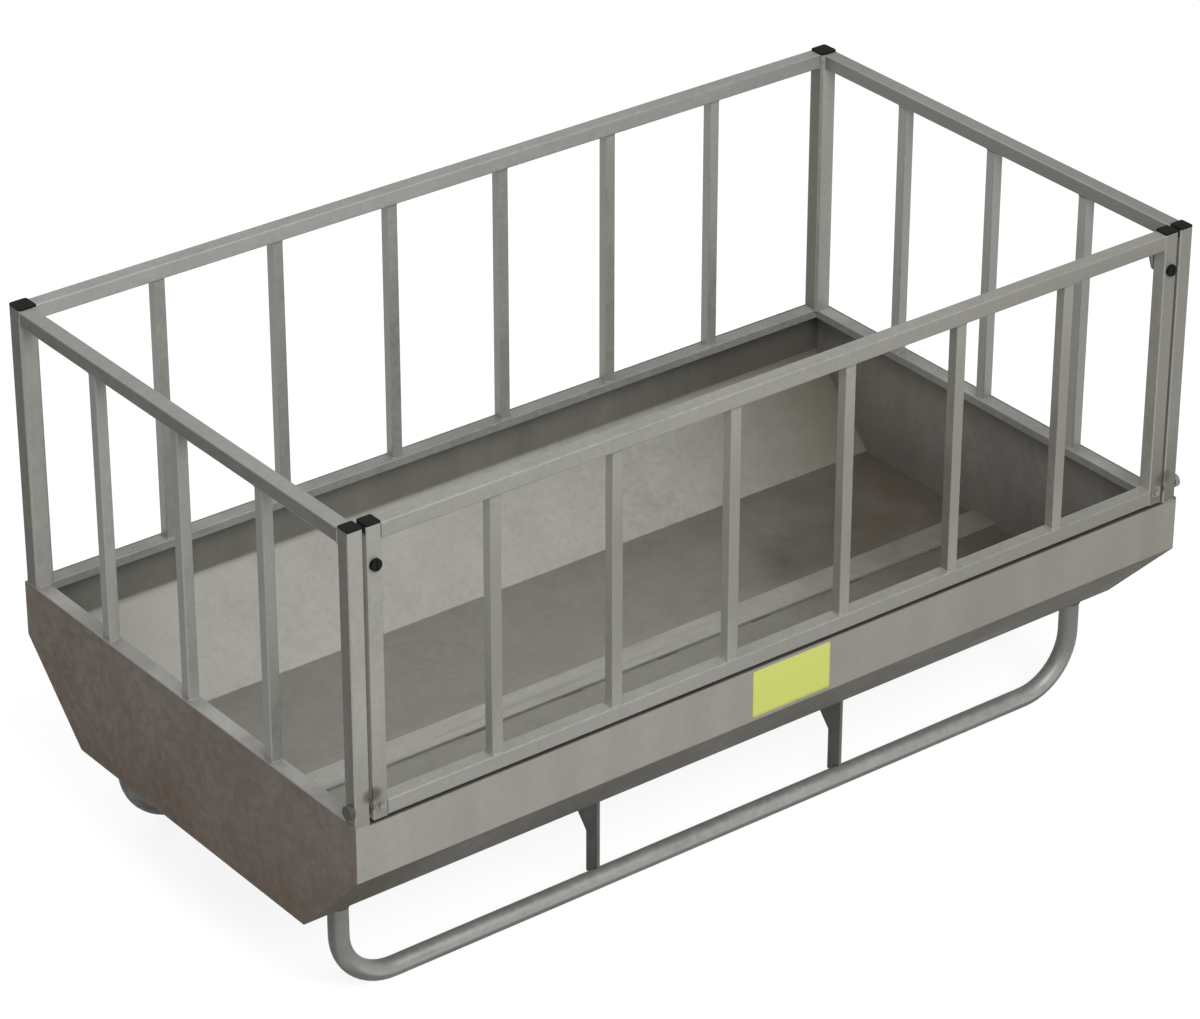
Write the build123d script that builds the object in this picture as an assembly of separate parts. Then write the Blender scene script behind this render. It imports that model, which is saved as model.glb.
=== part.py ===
"""Livestock feed bin: a folded steel trough on two bent tube skids, with a barred
cage standing on its rim and a front gate that drops forward on two pivot pins."""
import os

from build123d import *

# Frame: +X along the bin, -Y towards the gate, +Z up. The origin is on the ground,
# midway between the skids. All sizes are in millimetres.

# Trough of folded sheet
length = 2500.0             # over the end plates
width = 1390.0              # over the long walls
floor_height = 261.0        # ground to the underside of the floor
wall_height = 147.0         # upright part of the long walls
incline_drop = 224.0        # height of the sloping part
incline_inset = 220.0       # how far the slope runs in under the wall
sheet = 3.0                 # long walls and floor
end_sheet = 3.0             # end plates
fold_radius = 9.0           # outside radius of the folds
front_drop = 5.0            # the front wall ends this far below the rim
strip_width = 90.0          # flat bar over the seam in the floor
strip_thickness = 6.0
strip_chamfer = 1.5

# Square tube of the cage
post_size = 40.0            # front posts, top rails and gate frame
post_wall = 3.0
post_corner = 4.5           # outside corner radius of that tube
back_post_size = 50.0
back_post_wall = 4.0
back_post_corner = 8.0
rim_rail_height = 25.0      # flat-lying tube inside the top of the trough
rim_rail_wall = 2.5
rim_rail_corner = 3.0
bar_size = 30.0
bar_wall = 2.5
bar_corner = 3.5
cage_height = 747.0         # rim to the top of the posts
bar_pitch_share = 0.136     # spacing of the bars along the bin, as a share of its length
long_bars = 6               # bars in the back, and in the gate
end_bar_share = 0.2446      # spacing of the bars across the bin, as a share of its width
end_bars = 3                # bars in each end
cap_thickness = 5.0         # plastic caps on the open tube ends
cap_chamfer = 1.5
plug_depth = 18.0           # how far a cap reaches into its tube
plug_clearance = 0.4

# Skids of round tube
skid_diameter = 50.8
skid_wall = 3.2
skid_end_inset = 111.0      # end of the bin to the middle of a skid's leg
skid_bend = 150.0           # bend radius at the middle of the tube
skid_inset = 25.0           # floor's edge to the middle of the tube
bracket_share = 0.304       # between the two brackets of a skid, as a share of the length
bracket_thickness = 8.0
bracket_width = 44.0
bracket_set_in = 24.0       # middle of the bracket, inwards of the middle of the tube
bracket_flare_drop = 122.0  # the bracket widens over this height under the floor
bracket_flare_reach = 106.0
bracket_seat_gap = 0.2      # round seat of a bracket to its tube

# Gate, with a pivot at each lower corner
gate_side_gap = 9.0         # gate to post
gate_under_gap = 8.0        # gate to the front wall
gate_stop_gap = 0.5         # gate to the stops that it closes against
pivot_height = 35.0         # pivot above the gate's lower edge
pivot_set_back = 15.0       # pivot behind the gate's front face
pin_diameter = 20.0
pin_fit = 0.08              # radial clearance where a pin turns
pin_seat_fit = 0.1          # radial clearance where a pin is held
pin_head_diameter = 34.0
pin_head_thickness = 14.0
pin_end_gap = 0.5           # along the pin, to the inside of the gate's tube
pin_side_play = 0.5         # pin head to post, and spacer to post
pin_chamfer = 1.0
spacer_diameter = 34.0
cross_bolt_diameter = 10.0
cross_bolt_fit = 0.1
cross_bolt_tail = 3.0       # thread showing past the nut
hex_flats = 16.0
hex_head_thickness = 6.4
nut_thickness = 8.0
washer_diameter = 30.0
washer_thickness = 2.5

# Quarter-turn latches near the top of the gate, and the stops it closes against
latch_drop = 96.0           # latch below the top of the gate
stud_diameter = 12.0
stud_fit = 0.08
knob_diameter = 30.0
knob_thickness = 9.0
knob_gap = 0.5              # knob to the gate's front face
knob_rounding = 2.5
knob_groove_width = 4.0
knob_groove_depth = 2.0
arm_thickness = 8.0
arm_boss = 36.0             # round end of the arm about the stud
arm_reach = 46.0            # stud to the far edge of the arm
arm_inner = 32.0            # far edge, on the side away from the post
arm_outer = 22.0            # far edge, on the post's side
arm_play = 2.0              # arm to the back of the post
stop_thickness = 6.0
stop_height = 50.0
stop_drop = 150.0           # top of a stop below the top of the post
stop_reach = 23.0           # stop past the post, behind the gate
stop_lap = 24.0             # stop over the back of the post
stop_chamfer = 4.0

# Plain plate on the front wall
plate_width = 236.0
plate_height = 125.0
plate_thickness = 1.0
plate_drop = 6.0            # below the top of the front wall
plate_corner = 4.0
plate_x = 4.0               # middle of the plate along the bin

# Heights and places that follow from the sizes above
bend_z = floor_height + incline_drop
rim_z = bend_z + wall_height
front_z = rim_z - front_drop
post_top = rim_z + cage_height
rail_under = post_top - post_size
inside_x = length / 2 - end_sheet
inside_y = width / 2 - sheet
post_x = inside_x - post_size / 2
post_y = inside_y - post_size / 2
clear_x = inside_x - post_size
clear_y = inside_y - post_size
back_post_x = inside_x - back_post_size / 2
back_post_y = inside_y - back_post_size / 2
back_clear_x = inside_x - back_post_size
back_clear_y = inside_y - back_post_size
bar_pitch = bar_pitch_share * length
end_bar_pitch = end_bar_share * width
gate_low = front_z + gate_under_gap
gate_y = -post_y - gate_stop_gap
gate_front = gate_y - post_size / 2
gate_back = gate_y + post_size / 2
gate_edge = clear_x - gate_side_gap
stile_x = gate_edge - post_size / 2
stile_inner = gate_edge - post_size
pivot_y = gate_front + pivot_set_back
pivot_z = gate_low + pivot_height
latch_z = post_top - latch_drop
skid_axis_z = skid_diameter / 2
skid_y = width / 2 - incline_inset - skid_inset

os.makedirs("parts", exist_ok=True)


def save(name, *solids):
    """Write one piece, or a group of like pieces, under its own name."""
    shape = solids[0] if len(solids) == 1 else Compound(children=list(solids))
    export_step(shape, os.path.join("parts", name + ".step"))


def both_sides(piece):
    """A piece on the right and its mirror image on the left."""
    return piece, mirror(piece, about=Plane.YZ)


def tube_section(across, up, wall, corner):
    """Section of rectangular tube with rounded corners."""
    outer = RectangleRounded(across, up, corner)
    inner = RectangleRounded(across - 2 * wall, up - 2 * wall, corner - wall)
    return outer - inner


def along_x(section, x_from, x_to, y, z):
    """A section carried along X between two places."""
    return extrude(Plane.YZ.offset(x_from) * Pos(y, z) * section, x_to - x_from)


def along_y(section, y_from, y_to, x, z):
    """A section carried along Y between two places."""
    return extrude(Plane.XZ.offset(-y_from) * Pos(x, z) * section, y_from - y_to)


def upright(section, x, y, z_from, z_to):
    """A section carried up between two heights."""
    return Pos(x, y, z_from) * extrude(section, z_to - z_from)


def rod_x(diameter, x_from, x_to, y, z):
    """A round rod along X."""
    return along_x(Circle(diameter / 2), x_from, x_to, y, z)


def rod_y(diameter, y_from, y_to, x, z):
    """A round rod along Y."""
    return along_y(Circle(diameter / 2), y_from, y_to, x, z)


def spread(count, pitch):
    """Places of evenly spaced pieces, centred on zero."""
    return [(i - (count - 1) / 2) * pitch for i in range(count)]


def half_outline(top, reach):
    """Back half of the trough's outside, up to a height and past the middle by a reach."""
    corners = [
        (width / 2, top),
        (width / 2, bend_z),
        (width / 2 - incline_inset, floor_height),
        (-reach, floor_height),
        (-reach, top),
    ]
    face = make_face(Polyline(*corners, close=True))
    folds = [v for v in face.vertices() if v.X > 0 and v.Y < top - wall_height / 2]
    return fillet(folds, fold_radius)


def half_shell(top):
    """Back half of the folded trough, as one sheet with its edge at a given height."""
    outside = half_outline(top + sheet, sheet)
    inside = offset(outside, amount=-sheet, kind=Kind.INTERSECTION)
    kept = Pos(width / 4, (floor_height + top) / 2) * Rectangle(width / 2, top - floor_height)
    profile = (outside - inside) & kept
    return along_x(profile, -inside_x, inside_x, 0, 0)


# Trough: two folded halves that meet along the middle of the floor, a flat bar over
# that seam, and a plate welded across each end.
save("trough_shell_back", half_shell(rim_z))
save("trough_shell_front", mirror(half_shell(front_z), about=Plane.XZ))

strip_low = floor_height + sheet
strip_section = chamfer(
    Rectangle(strip_width, strip_thickness).vertices().group_by(Axis.Y)[-1], strip_chamfer)
save("floor_joint_strip",
     along_x(strip_section, -inside_x, inside_x, 0, strip_low + strip_thickness / 2))

half_end = half_outline(rim_z, 0)
end_face = half_end + mirror(half_end, about=Plane.YZ)
end_plate = along_x(end_face, inside_x, length / 2, 0, 0)
for side, plate in zip(("right", "left"), both_sides(end_plate)):
    save("end_plate_" + side, plate)

# Rim: flat-lying tube inside the top of the walls, which carries the cage.
rim_section = tube_section(post_size, rim_rail_height, rim_rail_wall, rim_rail_corner)
save("rim_rail_back", along_x(rim_section, -inside_x, inside_x, post_y, rim_z - rim_rail_height / 2))
save("rim_rail_front", along_x(rim_section, -inside_x, inside_x, -post_y, front_z - rim_rail_height / 2))
rim_side = along_y(rim_section, -clear_y, clear_y, post_x, rim_z - rim_rail_height / 2)
for side, rail in zip(("right", "left"), both_sides(rim_side)):
    save("rim_rail_" + side, rail)

# Posts: the front pair stand on the lower front rim and are bored for the pivot pins.
post_section = tube_section(post_size, post_size, post_wall, post_corner)
back_post_section = tube_section(back_post_size, back_post_size, back_post_wall, back_post_corner)
post_back = upright(back_post_section, back_post_x, back_post_y, rim_z, post_top)
pin_bore = rod_x(pin_diameter + 2 * pin_fit, clear_x - 1, inside_x + 1, pivot_y, pivot_z)
post_front = upright(post_section, post_x, -post_y, front_z, post_top) - pin_bore
for side, front, back in zip(("right", "left"), both_sides(post_front), both_sides(post_back)):
    save("post_front_" + side, front)
    save("post_back_" + side, back)

# Top rails between the posts, at the back and both ends.
rail_z = post_top - post_size / 2
save("top_rail_back", along_x(post_section, -back_clear_x, back_clear_x, post_y, rail_z))
top_rail_side = along_y(post_section, -clear_y, back_clear_y, post_x, rail_z)
for side, rail in zip(("right", "left"), both_sides(top_rail_side)):
    save("top_rail_" + side, rail)

# Bars between the rim and the top rails.
bar_section = tube_section(bar_size, bar_size, bar_wall, bar_corner)
for number, x in enumerate(spread(long_bars, bar_pitch), start=1):
    save(f"back_bar_{number}", upright(bar_section, x, post_y, rim_z, rail_under))
for number, y in enumerate(spread(end_bars, end_bar_pitch), start=1):
    end_bar = upright(bar_section, post_x, y, rim_z, rail_under)
    for side, bar in zip(("right", "left"), both_sides(end_bar)):
        save(f"{side}_bar_{number}", bar)

# Caps: a chamfered square flange with a plug that goes down into the tube.
def tube_cap(size, wall, corner):
    """Cap for square tube, with its flange's underside at zero height."""
    plug_size = size - 2 * wall - 2 * plug_clearance
    flange = extrude(RectangleRounded(size, size, corner), cap_thickness)
    flange = chamfer(flange.edges().group_by(Axis.Z)[-1], cap_chamfer)
    return flange + Pos(0, 0, -plug_depth) * extrude(
        RectangleRounded(plug_size, plug_size, corner - wall), plug_depth)


cap = tube_cap(post_size, post_wall, post_corner)
back_cap = tube_cap(back_post_size, back_post_wall, back_post_corner)
save("post_caps",
     *[Pos(x, -post_y, post_top) * cap for x in (-post_x, post_x)],
     *[Pos(x, back_post_y, post_top) * back_cap for x in (-back_post_x, back_post_x)])
save("gate_caps", *[Pos(x, gate_y, post_top) * cap for x in (-stile_x, stile_x)])

# Skids: one bent tube under each long side, its legs welded to the floor.
skid_leg = length / 2 - skid_end_inset
skid_path = FilletPolyline(
    (-skid_leg, skid_y, floor_height),
    (-skid_leg, skid_y, skid_axis_z),
    (skid_leg, skid_y, skid_axis_z),
    (skid_leg, skid_y, floor_height),
    radius=skid_bend)
skid_ring = Circle(skid_diameter / 2) - Circle(skid_diameter / 2 - skid_wall)
skid_start = Plane(origin=skid_path @ 0, x_dir=(1, 0, 0), z_dir=skid_path % 0)
skid = sweep(skid_start * skid_ring, path=skid_path)
save("skid_back", skid)
save("skid_front", mirror(skid, about=Plane.XZ))

# Brackets: upright plates between a skid and the floor, flared inwards at the top.
bracket_outer = skid_y - bracket_set_in + bracket_width / 2
bracket_inner = bracket_outer - bracket_width
bracket_outline = Polyline(
    (bracket_outer, floor_height),
    (bracket_outer, skid_axis_z),
    (bracket_inner, skid_axis_z),
    (bracket_inner, floor_height - bracket_flare_drop),
    (bracket_inner - bracket_flare_reach, floor_height),
    close=True)
bracket_x = bracket_share * length / 2
bracket = along_x(
    make_face(bracket_outline), bracket_x - bracket_thickness / 2, bracket_x + bracket_thickness / 2, 0, 0)
bracket -= rod_x(skid_diameter + 2 * bracket_seat_gap, 0, 2 * bracket_x, skid_y, skid_axis_z)
save("skid_brackets", *both_sides(bracket), *both_sides(mirror(bracket, about=Plane.XZ)))

# Stops: plates on the backs of the front posts that the gate closes against.
stop_from = clear_x - stop_reach
stop_face = Rectangle(stop_reach + stop_lap, stop_height)
stop_face = chamfer(stop_face.vertices().group_by(Axis.X)[0], stop_chamfer)
stop = along_y(
    stop_face, -clear_y, -clear_y + stop_thickness,
    stop_from + (stop_reach + stop_lap) / 2, post_top - stop_drop - stop_height / 2)
save("gate_stops", *both_sides(stop))

# Plain plate on the front wall.
plate_z = front_z - plate_drop - plate_height / 2
plate_face = RectangleRounded(plate_width, plate_height, plate_corner)
save("front_plate", along_y(plate_face, -width / 2 - plate_thickness, -width / 2, plate_x, plate_z))

# Gate frame and bars. Each stile is bored for its pivot pin, cross bolt and latch stud.
pin_end = stile_inner + post_wall + pin_end_gap
stile = upright(post_section, stile_x, gate_y, gate_low, post_top)
stile -= rod_x(pin_diameter + 2 * pin_seat_fit, stile_x, gate_edge + 1, pivot_y, pivot_z)
stile -= rod_y(cross_bolt_diameter + 2 * cross_bolt_fit, gate_front - 1, gate_back + 1, stile_x, pivot_z)
stile -= rod_y(stud_diameter + 2 * stud_fit, gate_front - 1, gate_back + 1, stile_x, latch_z)
for side, piece in zip(("right", "left"), both_sides(stile)):
    save("gate_stile_" + side, piece)

save("gate_top_rail", along_x(post_section, -stile_inner, stile_inner, gate_y, rail_z))
save("gate_bottom_rail", along_x(post_section, -stile_inner, stile_inner, gate_y, gate_low + post_size / 2))
for number, x in enumerate(spread(long_bars, bar_pitch), start=1):
    save(f"gate_bar_{number}", upright(bar_section, x, gate_y, gate_low + post_size, rail_under))

# Pivots: a headed pin through each front post, held in the gate's stile by a cross bolt.
pin_head_from = inside_x + pin_side_play
pin_head = rod_x(pin_head_diameter, pin_head_from, pin_head_from + pin_head_thickness, pivot_y, pivot_z)
pin_head = chamfer(pin_head.edges().group_by(Axis.X)[-1], pin_chamfer)
pin = pin_head + rod_x(pin_diameter, pin_end, pin_head_from, pivot_y, pivot_z)
pin -= rod_y(cross_bolt_diameter + 2 * cross_bolt_fit, gate_front, gate_back, stile_x, pivot_z)
for side, piece in zip(("right", "left"), both_sides(pin)):
    save("pivot_pin_" + side, piece)

spacer = rod_x(spacer_diameter, gate_edge, clear_x - pin_side_play, pivot_y, pivot_z)
spacer -= rod_x(pin_diameter + 2 * pin_seat_fit, gate_edge, clear_x, pivot_y, pivot_z)
save("pivot_spacers", *both_sides(spacer))

hexagon = RegularPolygon(hex_flats / 2, 6, major_radius=False)
washer_front = gate_front - washer_thickness
nut_back = gate_back + nut_thickness
cross_bolt = along_y(hexagon, washer_front - hex_head_thickness, washer_front, stile_x, pivot_z)
cross_bolt += rod_y(cross_bolt_diameter, washer_front, nut_back + cross_bolt_tail, stile_x, pivot_z)
save("pivot_cross_bolts", *both_sides(cross_bolt))
washer = rod_y(washer_diameter, washer_front, gate_front, stile_x, pivot_z)
washer -= rod_y(cross_bolt_diameter + 2 * cross_bolt_fit, washer_front, gate_front, stile_x, pivot_z)
save("pivot_cross_washers", *both_sides(washer))
nut = along_y(hexagon, gate_back, nut_back, stile_x, pivot_z)
nut -= rod_y(cross_bolt_diameter + 2 * cross_bolt_fit, gate_back, nut_back, stile_x, pivot_z)
save("pivot_cross_nuts", *both_sides(nut))

# Latches: a knob and a stud through the stile, with an arm behind it. The arm stands
# upright when the latch is free, and turns outwards behind the post to lock the gate.
knob_back = gate_front - knob_gap
arm_front = -clear_y + arm_play
knob = rod_y(knob_diameter, knob_back - knob_thickness, knob_back, stile_x, latch_z)
knob = fillet(knob.edges().group_by(Axis.Y)[0], knob_rounding)
groove = Pos(stile_x, knob_back - knob_thickness, latch_z) * Box(
    knob_groove_width, 2 * knob_groove_depth, knob_diameter)
stud = rod_y(stud_diameter, knob_back, arm_front, stile_x, latch_z)
arm_edge = Polyline((-arm_inner, arm_reach), (arm_outer, arm_reach), (0, 0), close=True)
arm_face = make_hull([*Circle(arm_boss / 2).edges(), *arm_edge.edges()])
arm = along_y(arm_face, arm_front, arm_front + arm_thickness, stile_x, latch_z)
for name, piece in (("knob", knob - groove), ("stud", stud), ("arm", arm)):
    for side, copy in zip(("right", "left"), both_sides(piece)):
        save(f"latch_{name}_{side}", copy)
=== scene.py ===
"""Livestock feed bin of galvanised steel: a folded trough on tube skids, with a barred
cage on its rim and a gate at the front. Metres, +X along the bin, -Y to the gate, +Z up."""
import math

import bpy
from mathutils import Matrix, Vector


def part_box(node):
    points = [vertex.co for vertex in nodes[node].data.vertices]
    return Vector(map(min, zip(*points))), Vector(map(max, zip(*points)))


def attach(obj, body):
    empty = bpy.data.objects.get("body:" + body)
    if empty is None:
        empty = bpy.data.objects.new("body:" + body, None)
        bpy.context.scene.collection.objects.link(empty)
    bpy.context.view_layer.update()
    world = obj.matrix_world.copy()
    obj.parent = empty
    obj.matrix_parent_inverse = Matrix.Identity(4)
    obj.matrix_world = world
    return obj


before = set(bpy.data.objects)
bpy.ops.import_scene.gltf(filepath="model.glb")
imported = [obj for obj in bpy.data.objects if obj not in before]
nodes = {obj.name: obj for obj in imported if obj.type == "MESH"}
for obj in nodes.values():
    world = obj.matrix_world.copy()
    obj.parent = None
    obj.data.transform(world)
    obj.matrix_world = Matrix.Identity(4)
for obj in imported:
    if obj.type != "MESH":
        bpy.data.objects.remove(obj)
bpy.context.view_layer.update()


# Trough: two halves folded from 3 mm steel sheet, which meet along the middle of the floor.
# The steel is dipped in molten zinc after welding, so it is dull grey and cloudy, with faint
# crystals and drain runs. Feed stains the inside; painted shade darkens its walls, its right end
# and the underside.
class Shade:
    """A socket in a node tree. Operators on it add Math nodes, and node() adds any other."""

    def __init__(self, tree, socket=None):
        self.tree = tree
        self.socket = socket

    def node(self, kind, settings=None, sockets=None, out=0):
        """Add a node with its settings, and with values or links for its sockets."""
        made = self.tree.nodes.new(kind)
        for key, value in (settings or {}).items():
            setattr(made, key, value)
        for key, value in (sockets or {}).items():
            if isinstance(value, Shade):
                self.tree.links.new(value.socket, made.inputs[key])
            else:
                made.inputs[key].default_value = value
        return Shade(self.tree, made.outputs[out])

    def out(self, name):
        """Another output of the same node."""
        return Shade(self.tree, self.socket.node.outputs[name])

    def into(self, socket):
        self.tree.links.new(self.socket, socket)

    def math(self, operation, first, second):
        return self.node("ShaderNodeMath", {"operation": operation}, {0: first, 1: second})

    def rise(self, low, high):
        """0 below low, 1 above high and smooth between; high below low turns it round."""
        return self.node("ShaderNodeMapRange", {"interpolation_type": "SMOOTHSTEP"},
                         {0: self, 1: low, 2: high})

    def __add__(self, other):
        return self.math("ADD", self, other)

    def __radd__(self, other):
        return self.math("ADD", other, self)

    def __sub__(self, other):
        return self.math("SUBTRACT", self, other)

    def __rsub__(self, other):
        return self.math("SUBTRACT", other, self)

    def __mul__(self, other):
        return self.math("MULTIPLY", self, other)

    def __rmul__(self, other):
        return self.math("MULTIPLY", other, self)

    def __abs__(self):
        return self.math("ABSOLUTE", self, 0.0)


class Spot:
    """A place on a surface: where it is, which way it faces, and the zinc's own patterns."""

    def __init__(self, place, normal, clouds, streaks):
        self.x, self.y, self.z = (place.out(axis) for axis in "XYZ")
        self.nx, self.ny, self.nz = (normal.out(axis) for axis in "XYZ")
        self.clouds = clouds
        self.streaks = streaks

    def endways(self):
        """Distance from the middle, for faces that look out past an end; minus if they look in."""
        return self.x * self.nx

    def sideways(self):
        """Distance from the middle, for faces that look out past a side; minus if they look in."""
        return self.y * self.ny

    def looks_up(self):
        return self.nz.rise(0.7, 0.9)

    def looks_down(self):
        return self.nz.rise(-0.15, -0.45)

    def looks_front(self):
        return self.ny.rise(-0.6, -0.9)

    def looks_left(self):
        return self.nx.rise(-0.6, -0.9)


def new_material(name):
    """An empty material, its shader and a start for its nodes."""
    material = bpy.data.materials.new(name)
    material.use_nodes = True
    shader = material.node_tree.nodes["Principled BSDF"]
    return material, shader, Shade(material.node_tree)


def paint(material, *names):
    """Give CAD nodes a material in all their slots."""
    for name in names:
        mesh = nodes[name].data
        mesh.materials.clear()
        mesh.materials.append(material)


def blend(shade, mask, under, over):
    """A colour, with another laid over it where the mask is 1."""
    return shade.node("ShaderNodeMix", {"data_type": "RGBA"}, {0: mask, 6: under, 7: over}, out=2)


def vary(middle, *patterns):
    """A middle value, pushed up and down by patterns, each with the share that it has."""
    for pattern, share in patterns:
        middle = middle + (pattern - 0.5) * share
    return middle


def galvanised(name, light, dark, spangle, cloud, runs, rough, metal, soils=()):
    """Hot-dip zinc: crystals, clouds and drain runs over a two-tone grey, lighter along the edges
    as worn zinc and a painted highlight. spangle and cloud say how fine the patterns are, and runs
    draws the streaks out.
    Each soil is a mask made from a Spot, a colour and a strength."""
    grain_scale, edge_radius, edge_highlight_share = 420.0, 0.0035, 0.35
    soil_roughness, bump_strength, bump_depth = 0.25, 0.12, 0.0006
    material, shader, shade = new_material(name)
    place = shade.node("ShaderNodeTexCoord", out="Object")
    normal = shade.node("ShaderNodeTexCoord", out="Normal")
    cells = shade.node("ShaderNodeTexVoronoi", {"feature": "F1"},
                       {"Vector": place, "Scale": spangle}, out="Color")
    cells = shade.node("ShaderNodeSeparateColor", None, {"Color": cells}, out="Red")
    clouds = shade.node("ShaderNodeTexNoise", None, {
        "Vector": place, "Scale": cloud, "Detail": 5.0, "Roughness": 0.6})
    drawn = shade.node("ShaderNodeMapping", None, {"Vector": place, "Scale": runs})
    streaks = shade.node("ShaderNodeTexNoise", None, {
        "Vector": drawn, "Scale": 1.0, "Detail": 4.0, "Roughness": 0.55})
    grain = shade.node("ShaderNodeTexNoise", None, {
        "Vector": place, "Scale": grain_scale, "Detail": 2.0})
    tone = vary(0.5, (cells, 0.42), (clouds, 1.1), (streaks, 0.7), (grain, 0.12))
    colour = blend(shade, tone, (*dark, 1), (*light, 1))
    roughness = vary(rough, (clouds, 0.25), (cells, 0.16))
    metallic = vary(metal, (clouds, 0.1))

    # Edges are lightened, partly as worn zinc and partly as a painted highlight.
    softened = shade.node("ShaderNodeBevel", {"samples": 4}, {"Radius": edge_radius})
    turned = shade.node("ShaderNodeVectorMath", {"operation": "DOT_PRODUCT"}, {
        0: softened, 1: shade.node("ShaderNodeNewGeometry", out="Normal")}, out="Value")
    edge_wear_and_highlight = (1 - turned).rise(0.01, 0.2) * clouds.rise(0.3, 0.6)
    bare_and_highlit = [min(1, part * 1.5) for part in light]
    colour = blend(shade, edge_wear_and_highlight * edge_highlight_share, colour, (*bare_and_highlit, 1))
    spot = Spot(shade.node("ShaderNodeSeparateXYZ", None, {0: place}),
                shade.node("ShaderNodeSeparateXYZ", None, {0: normal}), clouds, streaks)
    for mask, soil, strength in soils:
        cover = mask(spot) * strength
        colour = blend(shade, cover, colour, (*soil, 1))
        roughness = roughness + cover * soil_roughness
        metallic = metallic * (1 - cover)
    bump = shade.node("ShaderNodeBump", None, {
        "Height": cells * 0.12 + grain * 0.5 + streaks * 0.4,
        "Strength": bump_strength, "Distance": bump_depth})
    colour.into(shader.inputs["Base Color"])
    roughness.into(shader.inputs["Roughness"])
    metallic.into(shader.inputs["Metallic"])
    bump.into(shader.inputs["Normal"])
    return material


def under_shade(at):
    """Painted shade on whatever faces the ground, patchy like mud, lighter to the right."""
    return at.looks_down() * (0.82 + 0.4 * at.clouds - at.x.rise(-0.7, 1.2) * 0.14)


def corner_shade(at):
    """Painted shade in brown on the underside at the left end, as on the end plate."""
    return at.looks_down() * at.x.rise(-0.85, -1.2)


def wall_shade_and_feed(at):
    """Painted shade on the inside of the upright walls, from the fold up under the rim, darker to
    the right, with streaks of feed dust.
    """
    fold, soft = 0.485, 0.01
    inside = at.sideways().rise(-0.3, -0.5) * at.z.rise(fold - soft, fold + soft)
    return inside * (0.55 + 0.7 * at.streaks + at.x.rise(0.5, 1.25) * 0.75)


def wall_weather_and_shade(at):
    """Splash and rain marks on the outside of the upright walls, with painted shade that darkens
    them to the right.
    """
    marks = 1.7 * at.streaks + 1.1 * at.clouds - 0.9 + at.x.rise(-1.2, 1.2) * 0.45
    return at.sideways().rise(0.3, 0.5) * marks


def floor_feed_and_shade(at):
    """Damp feed on the floor, with painted shade from the right end plate that darkens it towards
    the right end.
    """
    right_end = (at.x + (at.clouds - 0.5) * 0.8).rise(0.0, 1.4)
    back_half = at.y.rise(0.02, 0.12) * at.x.rise(0.9, 0.6) * 0.13
    return at.nz.rise(0.8, 0.95) * (0.12 + 0.36 * at.clouds + right_end + back_half)


def slope_feed_and_shade(at):
    """Feed stuck on the slopes, with painted shade from the end plate at the right end, and a
    little darkening at the left.
    """
    slope = at.nz.rise(0.5, 0.6) * at.nz.rise(0.85, 0.78)
    right_end = (at.x + (at.clouds - 0.5) * 0.4).rise(0.5, 1.3)
    return slope * (right_end + at.x.rise(-0.8, -1.25) * 0.4)


sheet_zinc = galvanised(
    "zinc_sheet", light=(0.48, 0.475, 0.43), dark=(0.35, 0.345, 0.31),
    spangle=70.0, cloud=2.6, runs=(9.0, 9.0, 1.6), rough=0.5, metal=0.3,
    soils=((under_shade, (0.158, 0.15, 0.136), 0.95),
           (corner_shade, (0.12, 0.098, 0.075), 0.8),
           (wall_shade_and_feed, (0.115, 0.11, 0.093), 0.78),
           (floor_feed_and_shade, (0.095, 0.081, 0.058), 0.8),
           (slope_feed_and_shade, (0.12, 0.102, 0.064), 0.78),
           (wall_weather_and_shade, (0.25, 0.235, 0.185), 0.5)))
paint(sheet_zinc, "trough_shell_front", "trough_shell_back")


# Floor strip: a flat bar of 90 by 6 mm over the seam between the two halves, stitch welded
# along both edges. Painted light makes it brighter than the floor, and painted shade darkens its
# edges.
strip_half = 0.045


def strip_edge_shade(at):
    """Painted shade along the two long edges and on the bevel above them, where they would catch
    the light.
    """
    return abs(at.y).rise(strip_half - 0.0045, strip_half - 0.001) * (0.7 + 0.6 * at.clouds)


def strip_scuffs(at):
    """Dull scuffs along the top."""
    return at.streaks.rise(0.48, 0.62) * (0.4 + 0.8 * at.clouds)


# A brighter copy of the zinc: painted light on the floor strip.
strip_zinc_lit = galvanised(
    "zinc_strip_lit", light=(0.70, 0.695, 0.645), dark=(0.54, 0.535, 0.49),
    spangle=60.0, cloud=5.0, runs=(1.2, 14.0, 14.0), rough=0.42, metal=0.3,
    soils=((strip_edge_shade, (0.16, 0.155, 0.14), 0.85),
           (strip_scuffs, (0.30, 0.295, 0.27), 0.5),
           (floor_feed_and_shade, (0.118, 0.103, 0.072), 0.7)))
paint(strip_zinc_lit, "floor_joint_strip")

# End plates: flat 3 mm sheet cut to the trough's outline and welded across each end from the
# inside. Painted shade makes their zinc darker than the other sheet, and brown outside.
plate_inside, plate_outside = 1.247, 1.250


def end_shade_outside(at):
    """Painted shade and a painted reflection of brown ground on the outside, streaky, darker
    towards the bottom.
    """
    outside = abs(at.x).rise(plate_inside + 0.0008, plate_outside - 0.0008)
    return outside * (0.42 + 0.4 * at.clouds + 0.3 * at.streaks + at.z.rise(0.65, 0.25) * 0.25)


def end_shade_inside(at):
    """Painted shade on the inside, low down, with a streaky top edge."""
    inside = abs(at.x).rise(plate_inside + 0.0008, plate_inside + 0.0002)
    return inside * (at.z + (at.streaks - 0.5) * 0.2).rise(0.55, 0.3) * 0.8


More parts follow.
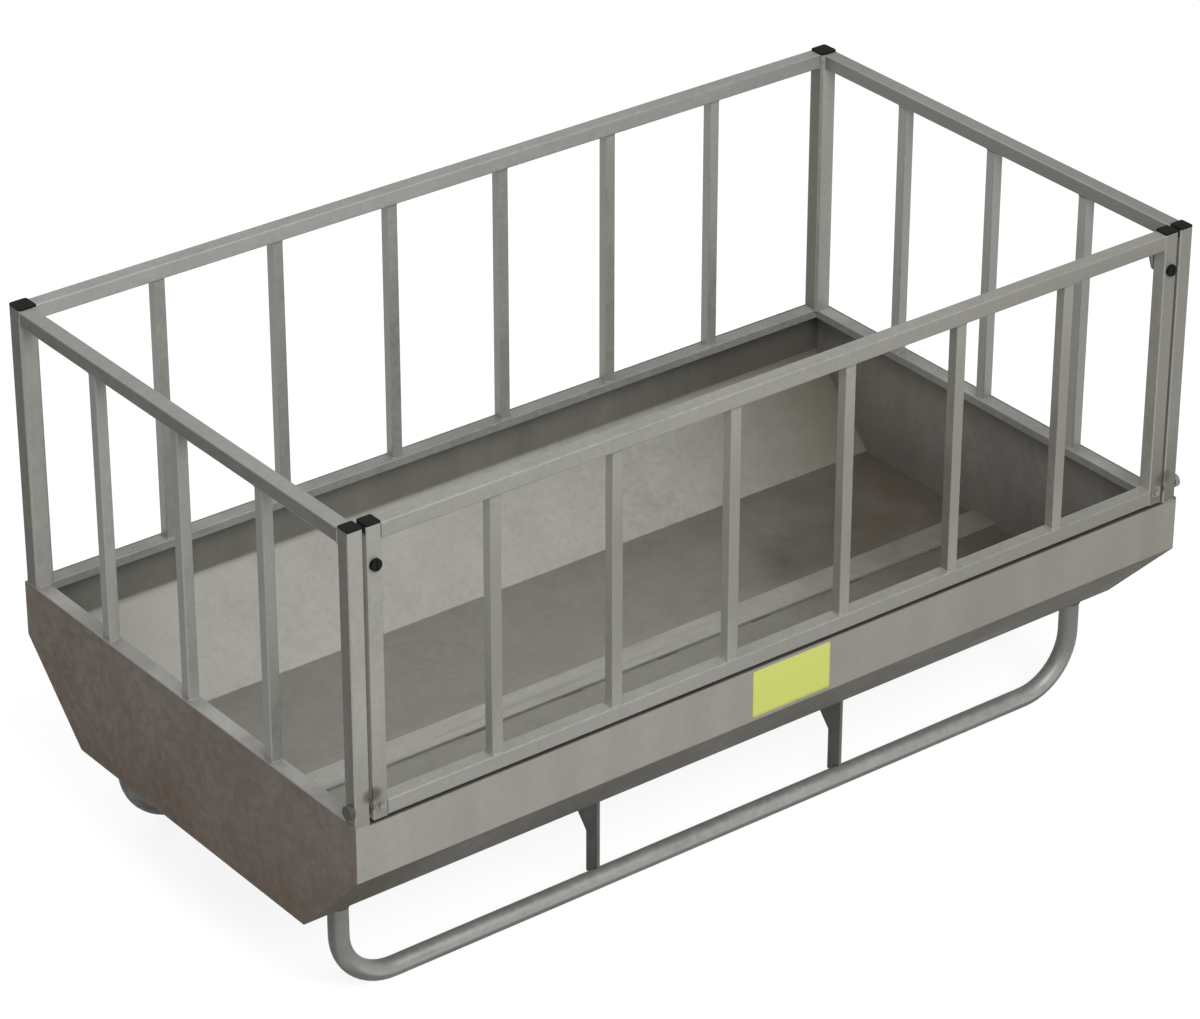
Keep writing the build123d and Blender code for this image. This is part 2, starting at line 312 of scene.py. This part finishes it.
# A darker copy of the sheet zinc: painted shade on the end plates.
end_zinc_shaded = galvanised(
    "zinc_end_shaded", light=(0.375, 0.36, 0.335), dark=(0.275, 0.265, 0.245),
    spangle=55.0, cloud=3.2, runs=(7.0, 7.0, 1.3), rough=0.52, metal=0.25,
    soils=((end_shade_outside, (0.182, 0.126, 0.084), 0.8),
           (end_shade_inside, (0.13, 0.12, 0.10), 0.7),
           (under_shade, (0.11, 0.088, 0.067), 0.95)))
paint(end_zinc_shaded, "end_plate_left", "end_plate_right")

# Rim rails: flat-lying box tube of 40 by 25 mm inside the top of the walls, welded to them.
# They stiffen the rim and carry the cage. Necks and chains rub the zinc of the top smooth.
rim_inside = 0.652


def rim_rub(at):
    """Pale rubbed patches on the top."""
    return at.looks_up() * at.clouds.rise(0.4, 0.65)


def rim_film(at):
    """A film of dust on the back rim, which nothing rubs."""
    back = at.y.rise(rim_inside - 0.004, rim_inside + 0.002)
    return at.looks_up() * back * (0.6 + 0.6 * at.clouds)


def rim_shade_under_gate(at):
    """Painted shadow of the gate's bottom rail on the front rim, between the posts."""
    front = at.y.rise(0.004 - rim_inside, -rim_inside - 0.002)
    between_posts = abs(at.x).rise(1.212, 1.206)
    return at.nz.rise(0.6, 0.9) * front * between_posts * (0.8 + 0.4 * at.clouds)


rim_zinc = galvanised(
    "zinc_rim", light=(0.43, 0.425, 0.405), dark=(0.31, 0.305, 0.285),
    spangle=80.0, cloud=4.0, runs=(5.0, 5.0, 5.0), rough=0.48, metal=0.3,
    soils=((rim_rub, (0.62, 0.615, 0.585), 0.5),
           (under_shade, (0.14, 0.13, 0.11), 0.8),
           (rim_film, (0.17, 0.167, 0.155), 0.4),
           (rim_shade_under_gate, (0.05, 0.044, 0.034), 0.95)))
paint(rim_zinc, "rim_rail_front", "rim_rail_back", "rim_rail_left", "rim_rail_right")

# Cage: back posts of 50 mm square tube, front posts and top rails of 40 mm, and 30 mm bars
# between them, cut square and welded before dipping. The zinc runs down the uprights. Painted
# shade darkens the faces at the ends and the fronts towards the right, and painted light pales
# some fronts and sides.
tube_zinc = {"spangle": 85.0, "cloud": 4.5, "rough": 0.47, "metal": 0.3}
upright_runs, lying_runs = (16.0, 16.0, 2.2), (3.0, 3.0, 16.0)


def end_faces_shade(at):
    """Painted shade on the faces that look out past the ends, and less on those that look in,
    streaky.
    """
    back_right = at.y.rise(0.60, 0.64) * at.x.rise(0.9, 1.1)
    inwards = at.endways().rise(-1.18, -1.195) * (0.55 + back_right * 0.25)
    tops = at.looks_up() * abs(at.x).rise(1.195, 1.205) * 0.3
    return (at.endways().rise(1.20, 1.235) + inwards + tops) * (0.6 + 0.4 * at.streaks)


def front_splash_and_shade(at):
    """Splashes on the fronts of the front uprights, darker low down, with painted shade that
    darkens them at the right end.
    """
    right_end = at.x.rise(0.6, 1.15) * (0.4 + 0.4 * at.clouds)
    return at.sideways().rise(0.6, 0.65) * (0.1 + right_end + at.z.rise(0.9, 0.64) * 0.5)


def back_posts_lit(at):
    """Painted light on the fronts of the back posts, most at the left and at the top."""
    fresh = at.x.rise(-0.9, -1.2) * 0.6 + at.z.rise(1.1, 1.32) * 0.6
    return at.sideways().rise(-0.6, -0.65) * fresh


def stile_outsides(at):
    """The sides of the gate's stiles that face the posts."""
    return at.endways().rise(1.15, 1.19) * at.endways().rise(1.206, 1.202)


def gate_gap_lit(at):
    """Painted light in the shaded gap beside the posts, and a little inside the right stile."""
    stile_insides = at.endways().rise(-1.12, -1.15) * at.endways().rise(-1.19, -1.17)
    return stile_outsides(at) + stile_insides * at.x.rise(0.9, 1.1) * 0.15


def cap_gap_shade(at):
    """Painted black shade between the caps, at the top of the gap beside the gate."""
    post_insides = at.endways().rise(-1.19, -1.205) * at.y.rise(-0.6, -0.65)
    return (stile_outsides(at) + post_insides) * at.z.rise(1.350, 1.366)


def pivot_dark_patch(at):
    """A dark round patch on both sides of the gap above each pivot, less on the right."""
    gap_middle, patch_height = 1.2005, 0.702
    across, up = (abs(at.x) - gap_middle) * 36.0, (at.z - patch_height) * 48.0
    dark_patch = (across * across + up * up).rise(1.4, 0.1) * at.y.rise(-0.684, -0.688)
    return dark_patch * (1 - at.x.rise(0.0, 0.1) * 0.3) * (0.6 + 0.7 * at.clouds)


def end_bars_lit(at):
    """Painted light on the inward sides of the right bars and the fronts of the left ones."""
    fronts = at.looks_front() * at.x.rise(-1.19, -1.205) * at.y.rise(-0.2, 0.1)
    return at.endways().rise(-1.19, -1.205) + fronts * 0.6


def back_rail_front_lit(at):
    """Painted light on the front of the back rail, fading to the right."""
    return at.looks_front() * abs(at.x).rise(1.235, 1.2) * at.x.rise(0.6, -0.3)


def rail_dust_and_shade(at):
    """Dust on the top of the right rail, more to the front, and painted shade on the fronts at the
    right end.
    """
    right_top = at.looks_up() * at.x.rise(1.19, 1.205) * at.y.rise(0.45, -0.6)
    return right_top + at.looks_front() * at.x.rise(0.7, 1.15) * 0.7


post_zinc = galvanised(
    "zinc_post", light=(0.44, 0.433, 0.395), dark=(0.32, 0.314, 0.284), runs=upright_runs,
    soils=((end_faces_shade, (0.16, 0.15, 0.125), 0.85),
           (front_splash_and_shade, (0.17, 0.16, 0.14), 0.65),
           (back_posts_lit, (0.70, 0.69, 0.66), 0.37),
           (gate_gap_lit, (0.80, 0.775, 0.69), 0.75),
           (cap_gap_shade, (0.006, 0.006, 0.005), 0.96),
           (pivot_dark_patch, (0.07, 0.068, 0.047), 0.8)), **tube_zinc)
bar_zinc = galvanised(
    "zinc_bar", light=(0.44, 0.436, 0.41), dark=(0.32, 0.317, 0.296), runs=upright_runs,
    soils=((end_faces_shade, (0.16, 0.15, 0.13), 0.32),
           (end_bars_lit, (0.66, 0.65, 0.62), 0.5)), **tube_zinc)
rail_zinc = galvanised(
    "zinc_rail", light=(0.455, 0.451, 0.428), dark=(0.33, 0.327, 0.309), runs=lying_runs,
    soils=((end_faces_shade, (0.15, 0.14, 0.12), 0.86),
           (back_rail_front_lit, (0.66, 0.655, 0.64), 0.28),
           (rail_dust_and_shade, (0.20, 0.196, 0.182), 0.42)), **tube_zinc)
cage_bars = [f"back_bar_{n}" for n in range(1, 7)]
cage_bars += [f"{side}_bar_{n}" for side in ("left", "right") for n in range(1, 4)]
paint(post_zinc, "post_front_left", "post_front_right", "post_back_left", "post_back_right")
paint(bar_zinc, *cage_bars)
paint(rail_zinc, "top_rail_back", "top_rail_left", "top_rail_right")

# Gate: a frame of the same square tube with six bars, which drops forward on its pivots.
# Stops of flat bar on the backs of the posts hold it upright when it is shut, and necks
# rub the fronts of its bars dull.
gate_bars = [f"gate_bar_{n}" for n in range(1, 7)]


def rubbed_front(at):
    """Greasy dull fronts, most at the height of a neck."""
    neck_height = at.z.rise(0.68, 0.85) * at.z.rise(1.32, 1.1)
    return at.looks_front() * (0.5 + 0.5 * at.clouds) * (0.6 + neck_height * 0.5)


def left_sides_lit(at):
    """Painted light on the left sides of the left bars."""
    return at.looks_left() * at.x.rise(0.5, -0.1)


def right_sides_shade(at):
    """Painted shade on the left sides of the right bars, low down on those at the end."""
    reached = at.x.rise(0.75, 0.6) + at.z.rise(1.05, 0.95)
    return at.looks_left() * at.x.rise(0.0, 0.3) * reached * (0.6 + 0.5 * at.clouds)


def rail_fronts_splash_and_shade(at):
    """Splashes on the fronts and a little on the tops of the rails, with painted shade that
    darkens them to the right.
    """
    tops = at.looks_up() * (0.3 + at.z.rise(0.9, 0.7) * 0.35)
    return (0.15 + 0.3 * at.clouds + at.x.rise(-0.6, 1.2) * 0.36) * (at.looks_front() + tops)


gate_bar_zinc = galvanised(
    "zinc_gate_bar", light=(0.45, 0.444, 0.405), dark=(0.33, 0.325, 0.293), runs=upright_runs,
    soils=((rubbed_front, (0.22, 0.21, 0.175), 0.6),
           (left_sides_lit, (0.66, 0.65, 0.60), 0.35),
           (right_sides_shade, (0.15, 0.135, 0.10), 0.38)), **tube_zinc)
gate_rail_zinc = galvanised(
    "zinc_gate_rail", light=(0.44, 0.433, 0.40), dark=(0.32, 0.315, 0.288), runs=lying_runs,
    soils=((rail_fronts_splash_and_shade, (0.19, 0.18, 0.15), 0.7),), **tube_zinc)
paint(gate_bar_zinc, *gate_bars)
paint(post_zinc, "gate_stile_left", "gate_stile_right", "gate_stops")
paint(gate_rail_zinc, "gate_top_rail", "gate_bottom_rail")


# Caps: black plastic plugs pushed into the open tops of the posts and the gate's stiles.
# They are moulded, with a fine grained skin that dust and sun turn a little grey.
def moulded(name, colour, rough):
    """Moulded plastic with a fine grained skin, on which pale dust settles."""
    grain_scale, dust_scale, dust_share = 900.0, 60.0, 0.5
    material, shader, shade = new_material(name)
    place = shade.node("ShaderNodeTexCoord", out="Object")
    normal = shade.node("ShaderNodeTexCoord", out="Normal")
    up = shade.node("ShaderNodeSeparateXYZ", None, {0: normal}, out="Z")
    grain = shade.node("ShaderNodeTexNoise", None, {
        "Vector": place, "Scale": grain_scale, "Detail": 2.0})
    dust = shade.node("ShaderNodeTexNoise", None, {
        "Vector": place, "Scale": dust_scale, "Detail": 5.0, "Roughness": 0.65})
    settled = dust.rise(0.42, 0.7) * (0.35 + up.rise(0.5, 0.95) * 0.65)
    dusty = [part * 2 + 0.012 for part in colour]
    bump = shade.node("ShaderNodeBump", None, {
        "Height": grain, "Strength": 0.2, "Distance": 0.0003})
    shader.inputs["Specular IOR Level"].default_value = 0.15
    blend(shade, settled * dust_share, (*colour, 1), (*dusty, 1)).into(shader.inputs["Base Color"])
    (rough + settled * 0.25).into(shader.inputs["Roughness"])
    bump.into(shader.inputs["Normal"])
    return material


cap_black = moulded("cap_black", (0.005, 0.005, 0.0045), 0.6)
paint(cap_black, "post_caps", "gate_caps")


# Skids: one length of 50.8 mm round tube under each long side, bent up at the ends and
# welded to the floor. The bin is dragged on them; painted shade darkens their tops and undersides.
def skid_shade_and_dirt(at):
    """Painted shade on top of the tube under the bin and under it, leaving a lit band between, and
    dirt on the legs and ends.
    """
    flat = (at.nz.rise(0.1, -0.2) * 0.8 + at.nz.rise(0.8, 0.98) * 0.36) * at.z.rise(0.12, 0.06)
    legs = at.z.rise(0.06, 0.14) * 0.5
    ends = at.endways().rise(0.75, 1.1) * 0.4
    return (flat + legs + ends) * (0.7 + 0.6 * at.clouds)


skid_zinc = galvanised(
    "zinc_skid", light=(0.47, 0.465, 0.445), dark=(0.34, 0.335, 0.315),
    spangle=75.0, cloud=5.0, runs=(3.0, 12.0, 12.0), rough=0.45, metal=0.3,
    soils=((skid_shade_and_dirt, (0.11, 0.102, 0.09), 0.8),))
paint(skid_zinc, "skid_front", "skid_back")


# Brackets: 8 mm plates cut with a flare, welded between each skid and the floor.
# They stand in the shade under the bin, which is painted into their zinc as a dark grey.
def bracket_shade(at):
    """Painted shade all over, in splash-like patches."""
    return 0.45 + 0.5 * at.clouds + 0.3 * at.streaks


# A darker copy of the zinc: painted shade on the brackets.
bracket_zinc_shaded = galvanised(
    "zinc_bracket_shaded", light=(0.40, 0.395, 0.37), dark=(0.29, 0.285, 0.265),
    spangle=70.0, cloud=12.0, runs=(18.0, 18.0, 4.0), rough=0.55, metal=0.25,
    soils=((bracket_shade, (0.15, 0.142, 0.126), 0.8),))
paint(bracket_zinc_shaded, "skid_brackets")


# Welds: fillet beads of about 3 mm where bars, posts, rails, plates and skids meet, laid by
# hand before dipping. The ripples of each pass show through the zinc.
def weld_dirt_and_shade(at):
    """Painted shade, partly feed and mud, on the beads in the corners inside and under the trough.
    """
    return at.z.rise(0.615, 0.6) * (0.75 + 0.4 * at.clouds)


weld_zinc = galvanised(
    "zinc_weld", light=(0.40, 0.395, 0.37), dark=(0.27, 0.265, 0.245),
    spangle=160.0, cloud=22.0, runs=(60.0, 60.0, 60.0), rough=0.5, metal=0.3,
    soils=((weld_dirt_and_shade, (0.10, 0.09, 0.07), 0.92),))

bead = bpy.data.node_groups.new("weld_bead", "GeometryNodeTree")
bead.interface.new_socket("Path", in_out="INPUT", socket_type="NodeSocketGeometry")
bead_inputs = {}
for label, kind, value in (
        ("Step", "Float", 0.0026), ("Ripple", "Float", 0.0052), ("Ripple depth", "Float", 0.2),
        ("Unevenness", "Float", 0.3), ("Seed", "Float", 4.0), ("Finish", "Material", weld_zinc)):
    made = bead.interface.new_socket(label, in_out="INPUT", socket_type="NodeSocket" + kind)
    made.default_value = value
    bead_inputs[label] = made.identifier
bead.interface.new_socket("Bead", in_out="OUTPUT", socket_type="NodeSocketGeometry")
start = Shade(bead).node("NodeGroupInput")
laid = start.node("GeometryNodeMeshToCurve", None, {"Mesh": start})
laid = start.node("GeometryNodeResampleCurve", {"mode": "LENGTH"}, {
    "Curve": laid, "Length": start.out("Step")})
along = start.node("GeometryNodeSplineParameter", out="Length")
phase = start.math("DIVIDE", along * (2 * math.pi), start.out("Ripple")) + 1.1
wave = start.node("ShaderNodeMath", {"operation": "SINE"}, {0: phase})
patch = start.node("ShaderNodeTexNoise", {"noise_dimensions": "4D"}, {
    "Vector": start.node("GeometryNodeInputPosition"), "W": start.out("Seed"),
    "Scale": 55.0, "Detail": 2.0})
size = start.node("GeometryNodeInputNamedAttribute", {"data_type": "FLOAT"}, {
    "Name": "bead_radius"})
uneven = (patch - 0.5) * start.out("Unevenness") * 2
size = size * (1 + wave * start.out("Ripple depth") + uneven)
ring = start.node("GeometryNodeCurvePrimitiveCircle", None, {"Resolution": 7, "Radius": 1.0})
swept = start.node("GeometryNodeCurveToMesh", None, {
    "Curve": laid, "Profile Curve": ring, "Scale": size, "Fill Caps": True})
swept = start.node("GeometryNodeRealizeInstances", None, {"Geometry": swept})
swept = start.node("GeometryNodeSetMaterial", None, {
    "Geometry": swept, "Material": start.out("Finish")})
finished = bead.nodes.new("NodeGroupOutput")
swept.into(finished.inputs[0])


def square(x, y, z, half, corner):
    """A ring round an upright square tube, with rounded corners."""
    points = []
    for turn, (side, front) in enumerate(((1, 1), (-1, 1), (-1, -1), (1, -1))):
        for bend in (0, 45, 90):
            angle = math.radians(90 * turn + bend)
            points.append((x + side * (half - corner) + corner * math.cos(angle),
                           y + front * (half - corner) + corner * math.sin(angle), z))
    return points + points[:1]


def weld(name, body, paths):
    """Lay beads of given radii along paths, as one mesh that moves with a body."""
    points, edges, radii = [], [], []
    for radius, path in paths:
        first = len(points)
        closed = path[0] == path[-1]
        path = path[:-1] if closed else path
        points += path
        radii += [radius] * len(path)
        edges += [(first + n, first + n + 1) for n in range(len(path) - 1)]
        if closed:
            edges.append((first + len(path) - 1, first))
    lines = bpy.data.meshes.new(name + "_paths")
    lines.from_pydata(points, edges, [])
    lines.attributes.new("bead_radius", "FLOAT", "POINT").data.foreach_set("value", radii)
    piece = bpy.data.objects.new(name, lines)
    bpy.context.scene.collection.objects.link(piece)
    layer = piece.modifiers.new("weld_bead", "NODES")
    layer.node_group = bead
    layer[bead_inputs["Finish"]] = weld_zinc
    layer[bead_inputs["Seed"]] = 4.0
    bpy.context.view_layer.update()
    evaluated = piece.evaluated_get(bpy.context.evaluated_depsgraph_get())
    made = bpy.data.meshes.new_from_object(evaluated)
    piece.modifiers.remove(layer)
    piece.data = made
    made.shade_smooth()
    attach(piece, body)


def square_ends(names, radius, corner, heights=(0, 1)):
    """Beads round the lower (0) and upper (1) ends of upright square tubes."""
    sunk = 0.0012
    found = []
    for name in names:
        low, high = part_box(name)
        x, y = (low[0] + high[0]) / 2, (low[1] + high[1]) / 2
        half = (high[0] - low[0]) / 2 - sunk
        for end in heights:
            found.append((radius, square(x, y, (low, high)[end][2], half, corner)))
    return found


bar_bead, bar_corner = 0.0038, 0.0035
post_bead, front_post_corner, back_post_corner = 0.0027, 0.0045, 0.008
cage_welds = square_ends(cage_bars, bar_bead, bar_corner)
for end, corner in (("front", front_post_corner), ("back", back_post_corner)):
    cage_welds += square_ends((f"post_{end}_left", f"post_{end}_right"), post_bead, corner, (0,))
rail_bead, rail_sunk, rail_top_gap = 0.0023, 0.001, 0.006
for name in ("top_rail_left", "top_rail_right", "top_rail_back"):
    low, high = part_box(name)
    lengthways = 0 if name == "top_rail_back" else 1
    near, far = low[1 - lengthways] + rail_sunk, high[1 - lengthways] - rail_sunk
    top, under = high[2] - rail_top_gap, low[2]
    for end in (low[lengthways], high[lengthways]):
        cup = ((near, top), (near, under), (far, under), (far, top))
        cage_welds.append((rail_bead, [
            (end, side, z) if lengthways == 0 else (side, end, z) for side, z in cup]))
rim_bead, rim_sunk = 0.0026, 0.002
for name in ("rim_rail_left", "rim_rail_right"):
    low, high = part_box(name)
    cage_welds.append((rim_bead, [(low[0] + rim_sunk, low[1], high[2]),
                                  (high[0] - rim_sunk, low[1], high[2])]))
stop_bead, stop_weld_length = 0.0024, 0.021
low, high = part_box("gate_stops")
for side in (-1, 1):
    for z in (low[2], high[2]):
        cage_welds.append((stop_bead, [(side * (high[0] - stop_weld_length), low[1], z),
                                       (side * high[0], low[1], z)]))
weld("cage_welds", "bin", cage_welds)

sheet, bend_rise, slope_run = 0.003, 0.2222, 0.2183
low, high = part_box("trough_shell_back")
inside, wall, floor = high[0], high[1] - sheet, low[2] + sheet
rim_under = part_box("rim_rail_back")[0][2]
wall_bead = 0.0019
end_line = ((wall, rim_under), (wall, floor + bend_rise), (wall - slope_run, floor),
            (strip_half + 0.001, floor))
trough_welds = []
for x in (-inside, inside):
    for front in (-1, 1):
        trough_welds.append((wall_bead, [(x, front * y, z) for y, z in end_line]))
stitches, first_stitch, stitch_pitch, stitch_half = 8, -1.05, 0.3, 0.03
plain_bead, lifted = 0.003, 0.0005
for stitch in range(stitches):
    middle = first_stitch + stitch * stitch_pitch
    for y in (-strip_half, strip_half):
        trough_welds.append((plain_bead, [(middle - stitch_half, y, floor + lifted),
                                          (middle + stitch_half, y, floor + lifted)]))
leg_bead, leg_gap, leg_sunk, seat_gap = 0.0036, 0.0004, 0.0008, 0.0002
bracket_faces = (-0.384, -0.376, 0.376, 0.384)
bracket_outer, bracket_inner = 0.003, 0.150
for name, front in (("skid_front", -1), ("skid_back", 1)):
    low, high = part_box(name)
    tube = (high[1] - low[1]) / 2
    axis = (low[1] + high[1]) / 2
    for x in (low[0] + tube, high[0] - tube):
        round_leg = []
        for angle in map(math.radians, range(0, 361, 20)):
            round_leg.append((x + (tube + leg_gap) * math.cos(angle),
                              axis + (tube + leg_gap) * math.sin(angle), high[2] - leg_sunk))
        trough_welds.append((leg_bead, round_leg))
    for x in bracket_faces:
        trough_welds.append((plain_bead, [(x, axis - front * bracket_outer, high[2] - lifted),
                                          (x, axis - front * bracket_inner, high[2] - lifted)]))
        seat = []
        for angle in map(math.radians, (4, 25, 45, 65, 84)):
            seat.append((x, axis - front * (tube + seat_gap) * math.cos(angle),
                         tube + (tube + seat_gap) * math.sin(angle)))
        trough_welds.append((plain_bead, seat))
weld("trough_welds", "bin", trough_welds)

gate_welds = square_ends(gate_bars, bar_bead, bar_corner)
gate_bead, gate_sunk = 0.0026, 0.0025
for name, end in (("gate_bottom_rail", 1), ("gate_top_rail", 0)):
    low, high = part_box(name)
    z = (low, high)[end][2]
    for x in (low[0], high[0]):
        gate_welds.append((gate_bead, [(x, low[1] + gate_sunk, z), (x, high[1] - gate_sunk, z)]))
weld("gate_welds", "gate", gate_welds)


# Pivots: a headed steel pin through each front post carries the gate's lower corner, with a
# spacer tube on it and a cross bolt, washer and nut through the stile. All are zinc plated.
def left_head_shade(at):
    """Painted shade on the head of the left pin, brown as on the end plate below it."""
    return at.x.rise(-1.2462, -1.2472) * (0.75 + 0.4 * at.clouds)


def spacer_gap_shade(at):
    """Painted shade on the spacers, in the gap between post and gate."""
    in_gap = abs(at.x).rise(1.195, 1.199) * abs(at.x).rise(1.210, 1.206)
    return in_gap * at.z.rise(0.9, 0.8)


fitting_zinc = galvanised(
    "zinc_fitting", light=(0.36, 0.35, 0.32), dark=(0.22, 0.215, 0.19),
    spangle=240.0, cloud=40.0, runs=(60.0, 60.0, 60.0), rough=0.5, metal=0.4,
    soils=((left_head_shade, (0.075, 0.068, 0.056), 0.95),
           (spacer_gap_shade, (0.05, 0.047, 0.035), 0.9)))
paint(fitting_zinc, "pivot_pin_left", "pivot_pin_right", "pivot_spacers")
paint(fitting_zinc, "pivot_cross_bolts", "pivot_cross_washers", "pivot_cross_nuts")

# Latches: a black knob on a steel stud through each stile turns an arm of flat bar behind
# the post, which locks the gate. The knob is moulded, with a groove that shows its turn.
knob_black = moulded("knob_black", (0.004, 0.004, 0.004), 0.55)
# A lighter copy of the zinc: painted light on arms that sit in shade behind the stiles.
arm_zinc_lit = galvanised(
    "zinc_arm_lit", light=(0.50, 0.49, 0.455), dark=(0.38, 0.37, 0.345),
    spangle=120.0, cloud=14.0, runs=(20.0, 20.0, 20.0), rough=0.42, metal=0.2)
paint(knob_black, "latch_knob_left", "latch_knob_right")
paint(fitting_zinc, "latch_stud_left", "latch_stud_right")
paint(arm_zinc_lit, "latch_arm_left", "latch_arm_right")

# Front plate: a thin plain plate of yellow plastic, stuck to the middle of the front wall.
# Weather fades it a little towards the top, and dirt gathers along its edges.
fresh_yellow, faded_yellow = (0.765, 0.83, 0.175, 1), (0.81, 0.865, 0.24, 1)
dirty_yellow = (0.36, 0.37, 0.15, 1)
plate_middle = 0.004
plate_material, plate_shader, plate = new_material("plate_yellow")
spot = plate.node("ShaderNodeTexCoord", out="Object")
plate_up = plate.node("ShaderNodeSeparateXYZ", None, {0: spot}, out="Z")
plate_across = plate_up.out("X")
rubbed = plate.node("ShaderNodeMapping", None, {"Vector": spot, "Scale": (30.0, 30.0, 160.0)})
scuffs = plate.node("ShaderNodeTexNoise", None, {"Vector": rubbed, "Scale": 1.0, "Detail": 5.0})
film = plate.node("ShaderNodeTexNoise", None, {"Vector": spot, "Scale": 14.0, "Detail": 3.0})
fading = plate_up.rise(0.50, 0.62) * 0.3 + (film - 0.5) * 0.25
lower_edge = plate_up.rise(0.506, 0.4965) * 0.5
side_edges = abs(plate_across - plate_middle).rise(0.112, 0.118) * 0.35
dirt = (lower_edge + side_edges) * (0.3 + film) + scuffs.rise(0.62, 0.75) * 0.12
weathered = blend(plate, dirt, blend(plate, fading, fresh_yellow, faded_yellow), dirty_yellow)
weathered.into(plate_shader.inputs["Base Color"])
(0.38 + scuffs.rise(0.5, 0.75) * 0.25).into(plate_shader.inputs["Roughness"])
scratched = plate.node("ShaderNodeBump", None, {
    "Height": scuffs, "Strength": 0.08, "Distance": 0.0003})
scratched.into(plate_shader.inputs["Normal"])
paint(plate_material, "front_plate")

# Studio: a pale floor that stays white behind the bin, a broad key light high in front and
# a little to the left, weak light from overhead, and the camera at the photograph's angle.
floor_half = 40
floor_mesh = bpy.data.meshes.new("studio_floor")
floor_mesh.from_pydata([(-floor_half, -floor_half, 0), (floor_half, -floor_half, 0),
                        (floor_half, floor_half, 0), (-floor_half, floor_half, 0)],
                       [], [(0, 1, 2, 3)])
studio_floor = bpy.data.objects.new("studio_floor", floor_mesh)
bpy.context.scene.collection.objects.link(studio_floor)
floor_paint, floor_shader, floor_shade = new_material("studio_floor")
floor_shader.inputs["Base Color"].default_value = (0.32, 0.32, 0.32, 1)
floor_shader.inputs["Roughness"].default_value = 0.9
floor_shader.inputs["Specular IOR Level"].default_value = 0.0
rays = floor_shade.node("ShaderNodeLightPath", out="Is Camera Ray")
seen = rays + rays.out("Is Glossy Ray") + rays.out("Is Transmission Ray")
glow = blend(floor_shade, seen, (0, 0, 0, 1), (0.88, 0.88, 0.88, 1))
glow.into(floor_shader.inputs["Emission Color"])
floor_shader.inputs["Emission Strength"].default_value = 1.0
floor_mesh.materials.append(floor_paint)

world = bpy.data.worlds.new("studio")
world.use_nodes = True
background = world.node_tree.nodes["Background"]
sky = Shade(world.node_tree)
rays = sky.node("ShaderNodeLightPath", out="Is Camera Ray")
mirrored = rays.out("Is Glossy Ray") + rays.out("Is Transmission Ray")
pale = blend(sky, mirrored, (0.2, 0.2, 0.2, 1), (0.6, 0.6, 0.6, 1))
blend(sky, rays, pale, (1, 1, 1, 1)).into(background.inputs["Color"])
background.inputs["Strength"].default_value = 1.0
bpy.context.scene.world = world


def lamp(name, direction, distance, size, power):
    """A square soft light that looks at the middle of the bin."""
    data = bpy.data.lights.new(name, "AREA")
    data.size = size
    data.energy = power
    made = bpy.data.objects.new(name, data)
    aim = Vector(direction).normalized()
    place = Matrix.Translation(Vector((0, 0, 0.6)) + aim * distance)
    made.matrix_world = place @ aim.to_track_quat("Z", "Y").to_matrix().to_4x4()
    bpy.context.scene.collection.objects.link(made)


lamp("key", direction=(-0.12, -0.76, 0.72), distance=8.0, size=6.0, power=480.0)
lamp("overhead", direction=(-0.25, 0.65, 0.95), distance=7.0, size=6.0, power=90.0)

azimuth, elevation, roll = math.radians(-37.680), math.radians(29.072), math.radians(0.065)
back = Vector((math.sin(azimuth) * math.cos(elevation),
               -math.cos(azimuth) * math.cos(elevation), math.sin(elevation)))
right = Vector((0, 0, 1)).cross(back).normalized()
turn = Matrix((right, back.cross(right), back)).transposed().to_4x4()
camera = bpy.data.cameras.new("camera")
camera.sensor_width = 36.0
camera.lens = 140.404
view = bpy.data.objects.new("camera", camera)
stand = Matrix.Translation(Vector((-6.1402, -7.9103, 6.2802)))
view.matrix_world = stand @ turn @ Matrix.Rotation(roll, 4, "Z")
bpy.context.scene.collection.objects.link(view)
bpy.context.scene.camera = view
bpy.context.scene.view_settings.view_transform = "Standard"
